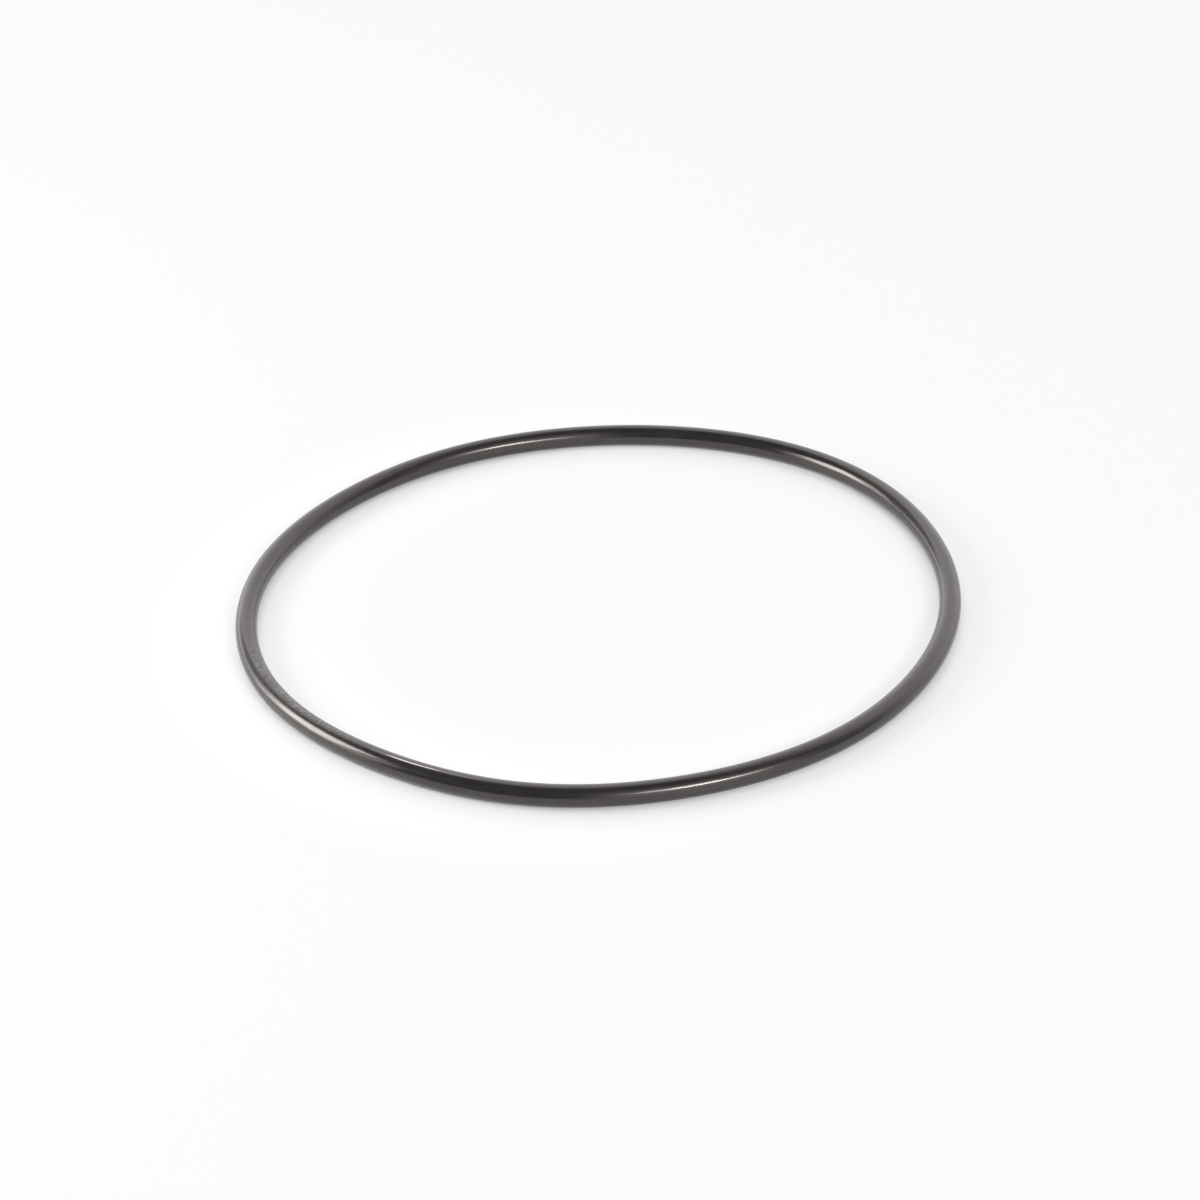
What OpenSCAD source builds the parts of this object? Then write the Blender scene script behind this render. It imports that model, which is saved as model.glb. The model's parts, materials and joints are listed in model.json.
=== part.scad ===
// Rubber O-ring: one moulded loop of round cord, lying flat.
// Millimetres. The origin is the centre of the ring, half-way up its cord, and +Z is the ring's axis.

/* [Ring] */
// Inside diameter of the free ring, before it is stretched into its groove
inside_d = 110; // [20:0.5:300]
// Diameter of the round cord, the size a groove is cut for
cord_d = 3.5; // [1.5:0.1:8]

/* [Hidden] */

// The middle of the cord runs half a cord outside the inside diameter
mean_r = inside_d / 2 + cord_d / 2;

// Steps of the preview round the ring and round the cord
ring_steps = 360;
cord_steps = 64;

rubber_black = [0.17, 0.165, 0.16];

// The cord cut across: a full circle, with no flat and no groove
module cord_section() {
    circle(d = cord_d, $fn = cord_steps);
}

// The cord section turned once round the axis, which closes it on itself without a joint
module o_ring() {
    color(rubber_black)
        rotate_extrude($fn = ring_steps)
            translate([mean_r, 0])
                cord_section();
}

o_ring();
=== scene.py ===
"""A black rubber o-ring lying flat on a white table, seen from above its near side.

Everything is in metres, with the ring's centre at the origin and +Z up.
"""
import json

import bpy
import numpy as np
from mathutils import Matrix, Vector


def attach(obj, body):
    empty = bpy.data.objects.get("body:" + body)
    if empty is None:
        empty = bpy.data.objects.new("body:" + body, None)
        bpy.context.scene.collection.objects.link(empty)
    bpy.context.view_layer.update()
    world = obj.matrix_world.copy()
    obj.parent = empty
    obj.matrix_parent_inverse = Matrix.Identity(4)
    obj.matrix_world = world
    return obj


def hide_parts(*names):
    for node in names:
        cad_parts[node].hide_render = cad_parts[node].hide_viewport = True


MM = 0.001
MICRON = 0.001 * MM

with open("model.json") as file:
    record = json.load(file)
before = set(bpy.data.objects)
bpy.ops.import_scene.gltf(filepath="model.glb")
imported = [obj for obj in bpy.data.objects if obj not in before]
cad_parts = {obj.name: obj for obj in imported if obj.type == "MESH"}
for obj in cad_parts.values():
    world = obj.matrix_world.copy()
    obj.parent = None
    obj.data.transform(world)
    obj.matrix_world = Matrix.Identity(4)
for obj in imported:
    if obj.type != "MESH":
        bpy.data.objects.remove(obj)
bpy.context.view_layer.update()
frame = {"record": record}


def seat_radius(seat):
    """The radius in metres of one of the ring's seats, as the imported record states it."""
    stated = {mount["name"]: mount["dims"] for mount in frame["record"]["mounts"]}
    return stated[seat]["r_mm"] * MM


INNER_R = seat_radius("inner_seat")
OUTER_R = seat_radius("outer_seat")
MEAN_R = (INNER_R + OUTER_R) / 2
CORD_R = (OUTER_R - INNER_R) / 2

# How the free ring lies out of round: (lobes, height in mm, direction of the first lobe in degrees)
LOBES = ((3, 0.442, 48.8), (4, 0.095, 34), (5, 0.167, -28.2), (7, 0.088, 0.8), (8, 0.051, -13.8))

# The names of the vectors on the mesh that say where round the ring and where round the cord a point is
ROUND_RING = "round_ring"
ROUND_CORD = "round_cord"

# The camera stands in front of the ring and is turned a little about its own line of sight. Its
# elevation and roll are in degrees, its lens and sensor in millimetres, and what it sees in metres.
CAMERA_DISTANCE = 612.9 * MM
CAMERA_ELEVATION = 30.53
CAMERA_ROLL = -2.98
LENS = 113.97
SENSOR = 36.0
NEAREST_SEEN = 0.01
FURTHEST_SEEN = 20.0

# The rubber's colours: where it is deepest and palest, its dry bloom, and the painted glint on its crest, a
# pale line that stands in for the reflection of a bright edge
RUBBER_DEEP = (0.0213, 0.0191, 0.0223, 1.0)
RUBBER_PALE = (0.0264, 0.0239, 0.0250, 1.0)
RUBBER_BLOOM = (0.125, 0.125, 0.120, 1.0)
RUBBER_PAINTED_GLINT = (0.95, 0.85, 0.82, 1.0)

# The strength of the rubber's sheen, as an index of refraction, and its tint
RUBBER_IOR = 1.65
RUBBER_SHEEN = (1.0, 0.91, 0.85, 1.0)

# The marks on the rubber: their lengths along the cord and across it in millimetres. The patches break
# up the painted glint line.
GRAIN = (0.42, 0.36)
RIDGES = (0.55, 1.6)
STREAKS = (9.0, 0.30)
CLOUD = (4.0, 1.8)
GLINT_PATCHES = (3.0, 1.0)

# How fine the noise of the marks goes, and how strong its finer part is
MARK_DETAIL = 2.0
MARK_ROUGHNESS = 0.5

# Where the bloom and the painted glint lie: an angle, how far from it they are still full, and how far
# from it they are gone, in degrees. Round the ring, 0 is at the right and 90 at the far side as the
# camera sees it. Round the cord, 0 is outermost and 90 is on top.
BLOOM_ON_RING = (209, 9, 21)
BLOOM_ON_CORD = (128, 36, 60)
GLINT_ON_RING = (238.5, 1.5, 5.5)
FAINT_GLINT_ON_RING = (240, 2, 12)
GLINT_ON_CORD = (80.5, 1, 4.2)

# The share of the bloom that is there all round the cord, and the share of the painted glint that is in
# the longer, fainter line
BLOOM_ALL_ROUND = 0.12
FAINT_GLINT_SHARE = 0.2

# The values of the noise between which the tone goes from deep to pale, and between which the bloom
# and the painted glint go from nothing to full
TONE_RANGE = (-0.2, 0.2)
BLOOM_RANGE = (-0.10, 0.20)
GLINT_RANGE = (-0.45, 0.0)

# How much the streaks count beside the cloud in the tone, and the ridges and grain in the bloom
STREAKS_IN_TONE = 0.5
MARKS_IN_BLOOM = 0.9

# The roughness of the rubber, and what the place of the bloom and the marks add to it
RUBBER_ROUGHNESS = 0.175
BLOOM_ROUGHNESS = 0.05
CLOUD_ROUGHNESS = 0.06
STREAK_ROUGHNESS = 0.08
GRAIN_ROUGHNESS = 0.06

# The height of the marks in thousandths of a millimetre, from the lowest value of the noise to the
# highest. In the bloom the grain has a further height, and the ridges stand this many times higher.
GRAIN_HEIGHT = 5.0
STREAK_HEIGHT = 5.0
CLOUD_HEIGHT = 20.0
BLOOM_HEIGHT = 14.0
RIDGES_OVER_GRAIN = 1.4

# The table top: half the length of its side in metres, and its finish
TABLE_HALF = 3.0
TABLE_COLOUR = (0.93, 0.93, 0.925, 1.0)
TABLE_ROUGHNESS = 0.35
TABLE_IOR = 1.45

# The white of the table's own light, and the share that this light has in what the table shows, beside
# the ring and away from it. The light is nothing at the line that the ring rests on and comes in over
# the distance SHADED. The share goes from the one to the other between the two distances in OPEN.
TABLE_WHITE = 0.955
LIFT_BESIDE = 0.60
LIFT_AWAY = 0.89
SHADED = 3.0 * MM
OPEN = (4 * MM, 20 * MM)
SHOWN_BY = ("Camera", "Glossy", "Transmission")

# Azimuth 0 is beyond the ring as the camera sees it, and 90 is to its right.
# Lamps: azimuth and elevation in degrees, distance, width and height in metres, and brightness
LAMPS = {
    "left_lamp": (-86.5, 25.0, 0.41, 0.180, 0.216, 8.4),
    "left_glow": (-86.0, 16.0, 0.46, 0.43, 0.27, 2.0),
    "left_window": (-70.0, 24.0, 0.80, 0.22, 0.36, 1.8),
    "rear_lamp": (152.5, 29.6, 1.0, 0.24, 0.060, 40.0),
    "rear_glow": (153.5, 29.6, 1.0, 0.60, 0.060, 10.5),
    "rear_haze": (153.5, 29.6, 1.0, 0.50, 0.25, 4.5),
}

# Pale walls of the room. Each has the azimuth that it faces, then how far round to its left, to its
# right and up it is still full, and how far until it is gone, in degrees, and its brightness.
WALLS = {
    "far_wall": (30, (53, 67), (25, 85), (48, 82), 1.70),
    "far_left_wall": (-50, (0, 15), (5, 65), (48, 59), 0.50),
    "far_left_foot": (-62, (4, 8), (25, 44), (0, 23), 2.35),
    "rear_wall": (152, (5, 50), (18, 42), (20, 80), 1.65),
}
ROOM_DIM = 0.055


class Value:
    """A shader socket that carries a number, so that sums on it are written as plain expressions."""

    def __init__(self, shader, socket):
        self.shader = shader
        self.socket = socket

    def _math(self, operation, *terms):
        inputs = {index: term for index, term in enumerate(terms)}
        return self.shader.node("ShaderNodeMath", {"operation": operation}, inputs)

    def __add__(self, other):
        return self._math("ADD", self, other)

    def __radd__(self, other):
        return self._math("ADD", other, self)

    def __sub__(self, other):
        return self._math("SUBTRACT", self, other)

    def __rsub__(self, other):
        return self._math("SUBTRACT", other, self)

    def __mul__(self, other):
        return self._math("MULTIPLY", self, other)

    def __rmul__(self, other):
        return self._math("MULTIPLY", other, self)

    def __truediv__(self, other):
        return self._math("DIVIDE", self, other)

    def __neg__(self):
        return 0 - self

    def root(self):
        return self._math("SQRT", self)

    def size(self):
        """The value without its sign."""
        return self._math("ABSOLUTE", self)

    def arcsine(self):
        return self._math("ARCSINE", self)

    def arctan(self, other):
        """The angle of a point this far along one axis and other along the next."""
        return self._math("ARCTAN2", self, other)

    def clamp(self):
        """The value held between 0 and 1."""
        return self._math("MINIMUM", self._math("MAXIMUM", self, 0.0), 1.0)


class Shader:
    """The nodes of a material or of the room, each added by one call."""

    def __init__(self, owner):
        self.owner = owner
        owner.use_nodes = True
        self.tree = owner.node_tree
        self.tree.nodes.clear()

    def node(self, kind, settings=None, inputs=None, output=0):
        """Adds a node, sets its settings, sets or links its inputs, and returns one of its outputs."""
        made = self.tree.nodes.new(kind)
        for name, setting in (settings or {}).items():
            setattr(made, name, setting)
        for key, value in (inputs or {}).items():
            if isinstance(value, Value):
                self.tree.links.new(value.socket, made.inputs[key])
            else:
                made.inputs[key].default_value = value
        return Value(self, made.outputs[output])

    def split(self, vector):
        """The x, y and z of a vector."""
        return [self.node("ShaderNodeSeparateXYZ", None, {0: vector}, axis) for axis in "XYZ"]

    def ramp(self, value, start, end):
        """Rises smoothly from 0 to 1 as the value goes from start to end."""
        return self.node(
            "ShaderNodeMapRange",
            {"interpolation_type": "SMOOTHSTEP"},
            {"Value": value, "From Min": start, "From Max": end},
        )

    def seen(self):
        """1 for what the camera, a reflection or glass shows, and 0 for what only lights the scene."""
        ray = [self.node("ShaderNodeLightPath", None, None, "Is %s Ray" % way) for way in SHOWN_BY]
        return (ray[0] + ray[1] + ray[2]).clamp()

    def finish(self, surface, output="ShaderNodeOutputMaterial"):
        """Sends a surface shader to the output, and returns what the nodes belong to."""
        end = self.tree.nodes.new(output)
        self.tree.links.new(surface.socket, end.inputs["Surface"])
        return self.owner


def closed_grid(name, points, ways):
    """A mesh from a grid of points (rows, columns, 3) that closes on itself both ways.

    Face (i, j) joins points (i, j), (i+1, j), (i+1, j+1) and (i, j+1), with both indices wrapped round.
    Each way is a vector kept at every point under its name, for the material to read.
    """
    rows, columns = points.shape[:2]
    index = np.arange(rows * columns).reshape(rows, columns)
    right = np.roll(index, -1, axis=0)
    corners = np.stack([index, right, np.roll(right, -1, axis=1), np.roll(index, -1, axis=1)], axis=-1)
    mesh = bpy.data.meshes.new(name)
    mesh.from_pydata(points.reshape(-1, 3), [], corners.reshape(-1, 4))
    mesh.polygons.foreach_set("use_smooth", np.ones(rows * columns, bool))
    for way, vectors in ways.items():
        spread = np.ascontiguousarray(np.broadcast_to(vectors, points.shape), dtype=np.float32)
        mesh.attributes.new(way, "FLOAT_VECTOR", "POINT").data.foreach_set("vector", spread.ravel())
    mesh.update()
    made = bpy.data.objects.new(name, mesh)
    bpy.context.scene.collection.objects.link(made)
    return made


def rubber_ring(around=960, across=88):
    """The ring as it lies free: a round cord of radius c carried along a nearly round loop of radius L.

    With t the angle round the ring, s the angle round the cord, and R the ring's mean radius:
    L(t) = R + the sum over the lobes of height * cos(lobes * (t - direction))
    x = (L + c cos s) cos t,  y = (L + c cos s) sin t,  z = c sin s
    The cosine and sine of t and of s stay on the mesh, because the rubber's marks follow the cord.
    """
    t = np.linspace(0, 2 * np.pi, around, endpoint=False)[:, None]
    s = np.linspace(0, 2 * np.pi, across, endpoint=False)[None, :]
    loop = MEAN_R + sum(
        height * MM * np.cos(lobes * (t - np.radians(direction))) for lobes, height, direction in LOBES
    )
    reach = loop + CORD_R * np.cos(s)
    points = np.stack([reach * np.cos(t), reach * np.sin(t), CORD_R * np.sin(s) + 0 * t], axis=-1)
    ways = {
        ROUND_RING: np.stack([np.cos(t), np.sin(t), 0 * t], axis=-1),
        ROUND_CORD: np.stack([np.cos(s), np.sin(s), 0 * s], axis=-1),
    }
    return closed_grid("rubber_ring", points, ways)


def rubber():
    """Charcoal rubber with a satin sheen, and with its marks laid along and across the cord.

    The marks are noise on a point in four lengths, which closes on itself both ways:
    (R cos t / a, R sin t / a, c cos s / b, c sin s / b), for marks of length a along the cord and b across.
    """
    shader = Shader(bpy.data.materials.new("black_rubber"))
    ring = shader.split(shader.node("ShaderNodeAttribute", {"attribute_name": ROUND_RING}, output="Vector"))
    cord = shader.split(shader.node("ShaderNodeAttribute", {"attribute_name": ROUND_CORD}, output="Vector"))

    def marks(along, across):
        """Noise about zero, whose marks have this length along the cord and across it in millimetres."""
        a = MEAN_R / (along * MM)
        b = CORD_R / (across * MM)
        vector = shader.node("ShaderNodeCombineXYZ", None, {0: ring[0] * a, 1: ring[1] * a, 2: cord[0] * b})
        noise = shader.node(
            "ShaderNodeTexNoise",
            {"noise_dimensions": "4D"},
            {
                "Vector": vector,
                "W": cord[1] * b,
                "Scale": 1.0,
                "Detail": MARK_DETAIL,
                "Roughness": MARK_ROUGHNESS,
            },
        )
        return noise - 0.5

    def near(way, angle, full, gone):
        """1 within full degrees of an angle round the ring or the cord, and 0 beyond gone degrees."""
        angle, full, gone = np.radians((angle, full, gone))
        cosine = way[0] * float(np.cos(angle)) + way[1] * float(np.sin(angle))
        return shader.ramp(cosine, np.cos(gone), np.cos(full))

    def blend(factor, first, second):
        """A colour that goes from the first to the second with the factor.

        A Mix node has the factor as input 0, the two colours as inputs 6 and 7, and their mix as output 2.
        """
        colours = {0: factor, 6: first, 7: second}
        return shader.node("ShaderNodeMix", {"data_type": "RGBA"}, colours, 2)

    grain = marks(*GRAIN)
    ridges = marks(*RIDGES)
    streaks = marks(*STREAKS)
    cloud = marks(*CLOUD)

    dulled = near(ring, *BLOOM_ON_RING)
    frosted = dulled * (near(cord, *BLOOM_ON_CORD) * (1 - BLOOM_ALL_ROUND) + BLOOM_ALL_ROUND)
    bloom = frosted * shader.ramp((ridges + grain) * MARKS_IN_BLOOM, *BLOOM_RANGE)
    # A painted glint: a thin pale line in the base colour on the cord's crest, which stands in for the
    # reflection of a bright edge, with a longer, fainter line of the same painted reflection about it.
    glint_reach = near(ring, *GLINT_ON_RING) * (1 - FAINT_GLINT_SHARE) + near(ring, *FAINT_GLINT_ON_RING) * FAINT_GLINT_SHARE
    painted_glint = glint_reach * near(cord, *GLINT_ON_CORD) * shader.ramp(marks(*GLINT_PATCHES), *GLINT_RANGE)

    pale = shader.ramp(cloud + streaks * STREAKS_IN_TONE, *TONE_RANGE)
    tone = blend(pale, RUBBER_DEEP, RUBBER_PALE)
    tone = blend(bloom, tone, RUBBER_BLOOM)
    tone = blend(painted_glint, tone, RUBBER_PAINTED_GLINT)

    roughness = dulled * BLOOM_ROUGHNESS + cloud * CLOUD_ROUGHNESS + streaks * STREAK_ROUGHNESS
    roughness = roughness + grain * GRAIN_ROUGHNESS + RUBBER_ROUGHNESS

    height = grain * GRAIN_HEIGHT + streaks * STREAK_HEIGHT + cloud * CLOUD_HEIGHT
    height = height + (ridges * RIDGES_OVER_GRAIN + grain) * frosted * BLOOM_HEIGHT
    bump = shader.node("ShaderNodeBump", None, {"Height": height, "Strength": 1.0, "Distance": MICRON})

    surface = shader.node(
        "ShaderNodeBsdfPrincipled",
        None,
        {
            "Base Color": tone,
            "Roughness": roughness,
            "Normal": bump,
            "IOR": RUBBER_IOR,
            "Specular Tint": RUBBER_SHEEN,
        },
    )
    return shader.finish(surface)


def table():
    """A matt white table top under the ring, touching the cord's lowest line.

    It shows some light of its own, which goes to nothing at the line that the ring rests on, so that
    the shadow there stays. The distance from that line is the size of sqrt(x * x + y * y) - R.
    """
    half = TABLE_HALF
    z = -CORD_R
    corners = [(-half, -half, z), (half, -half, z), (half, half, z), (-half, half, z)]
    mesh = bpy.data.meshes.new("table_top")
    mesh.from_pydata(corners, [], [(0, 1, 2, 3)])
    made = bpy.data.objects.new("table_top", mesh)
    bpy.context.scene.collection.objects.link(made)
    shader = Shader(bpy.data.materials.new("white_table"))
    finish = {"Base Color": TABLE_COLOUR, "Roughness": TABLE_ROUGHNESS, "IOR": TABLE_IOR}
    matt = shader.node("ShaderNodeBsdfPrincipled", None, finish)
    glow = shader.node("ShaderNodeEmission", None, {"Color": (TABLE_WHITE, TABLE_WHITE, TABLE_WHITE, 1.0)})
    x, y, _ = shader.split(shader.node("ShaderNodeTexCoord", output="Object"))
    beside = ((x * x + y * y).root() - MEAN_R).size()
    share = shader.ramp(beside, *OPEN) * (LIFT_AWAY - LIFT_BESIDE) + LIFT_BESIDE
    lift = shader.seen() * shader.ramp(beside, 0.0, SHADED) * share
    mixed = shader.node("ShaderNodeMixShader", None, {0: lift, 1: matt, 2: glow})
    mesh.materials.append(shader.finish(mixed))


def direction(azimuth, elevation):
    """A unit vector. Azimuth 0 points away from the camera and 90 to the right, in degrees."""
    a, e = np.radians((azimuth, elevation))
    return Vector((np.sin(a) * np.cos(e), np.cos(a) * np.cos(e), np.sin(e)))


def camera():
    """The camera looks at the ring's centre from its near side, rolled about its line of sight."""
    data = bpy.data.cameras.new("camera")
    data.sensor_width = SENSOR
    data.lens = LENS
    data.clip_start = NEAREST_SEEN
    data.clip_end = FURTHEST_SEEN
    made = bpy.data.objects.new("camera", data)
    bpy.context.scene.collection.objects.link(made)
    back = direction(180, CAMERA_ELEVATION)
    right = Vector((1, 0, 0))
    up = back.cross(right)
    turn = Matrix((right, up, back)).transposed() @ Matrix.Rotation(np.radians(CAMERA_ROLL), 3, "Z")
    made.matrix_world = Matrix.Translation(back * CAMERA_DISTANCE) @ turn.to_4x4()
    bpy.context.scene.camera = made


def lamps():
    """Soft boxes that face the ring. A box of area a and brightness b gives pi * a * b watts."""
    for name, (azimuth, elevation, distance, width, height, brightness) in LAMPS.items():
        data = bpy.data.lights.new(name, "AREA")
        data.shape = "RECTANGLE"
        data.size = width
        data.size_y = height
        data.energy = np.pi * width * height * brightness
        made = bpy.data.objects.new(name, data)
        made.visible_camera = False
        bpy.context.scene.collection.objects.link(made)
        away = direction(azimuth, elevation)
        made.location = away * distance
        made.rotation_euler = away.to_track_quat("Z", "Y").to_euler()


def room():
    """A dim room with pale walls, whose brightness depends on the direction alone.

    Round from the azimuth that it faces, and up from the table, a wall's brightness is
    (1 - rise to its left) * (1 - rise to its right) * (1 - rise upwards), each rise being smooth.
    The camera sees the table's white in place of the walls.
    """
    shader = Shader(bpy.data.worlds.new("room"))
    x, y, z = shader.split(shader.node("ShaderNodeTexCoord", output="Generated"))
    degree = float(np.radians(1))
    elevation = z.arcsine() / degree
    light = ROOM_DIM
    for facing, left, right, upwards, brightness in WALLS.values():
        c = float(np.cos(facing * degree))
        s = float(np.sin(facing * degree))
        azimuth = (x * c - y * s).arctan(y * c + x * s) / degree
        across = (1 - shader.ramp(-azimuth, *left)) * (1 - shader.ramp(azimuth, *right))
        light = across * (1 - shader.ramp(elevation, *upwards)) * brightness + light
    walls = shader.node("ShaderNodeBackground", None, {"Strength": light})
    white = shader.node("ShaderNodeBackground", None, {"Strength": TABLE_WHITE})
    camera_ray = shader.node("ShaderNodeLightPath", None, None, "Is Camera Ray")
    mixed = shader.node("ShaderNodeMixShader", None, {0: camera_ray, 1: walls, 2: white})
    bpy.context.scene.world = shader.finish(mixed, "ShaderNodeOutputWorld")


ring = rubber_ring()
ring.data.materials.append(rubber())
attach(ring, "root")
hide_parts("o_ring")
table()
camera()
lamps()
room()
bpy.context.scene.view_settings.view_transform = "Standard"
